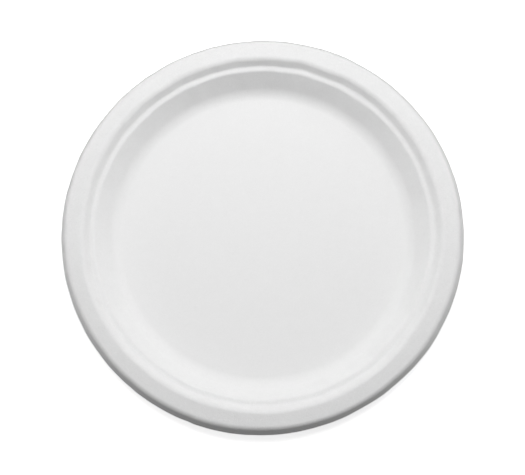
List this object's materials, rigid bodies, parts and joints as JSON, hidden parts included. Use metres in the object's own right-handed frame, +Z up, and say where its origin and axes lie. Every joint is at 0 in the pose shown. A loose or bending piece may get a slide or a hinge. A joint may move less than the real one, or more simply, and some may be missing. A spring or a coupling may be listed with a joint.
{
  "type": "paper plate",
  "caption": "Round disposable plate pressed in one piece from white plant-fibre pulp: a shallow well with a narrow stacking ledge, a broad sloping rim and a down-turned lip.",
  "frame": {"origin": "middle of the flat underside, on the surface the plate stands on", "axes": "+Z up along the plate's axis of symmetry, out of the well; X and Y are level and alike, because the plate is round"},
  "size_m": [0.23, 0.23, 0.0175],
  "materials": {
    "pulp": "matt uncoated bleached pulp, faintly cloudy, pressed smooth on the upper side"
  },
  "bodies": {
    "root": {"plate": "pulp"}
  },
  "joints": []
}
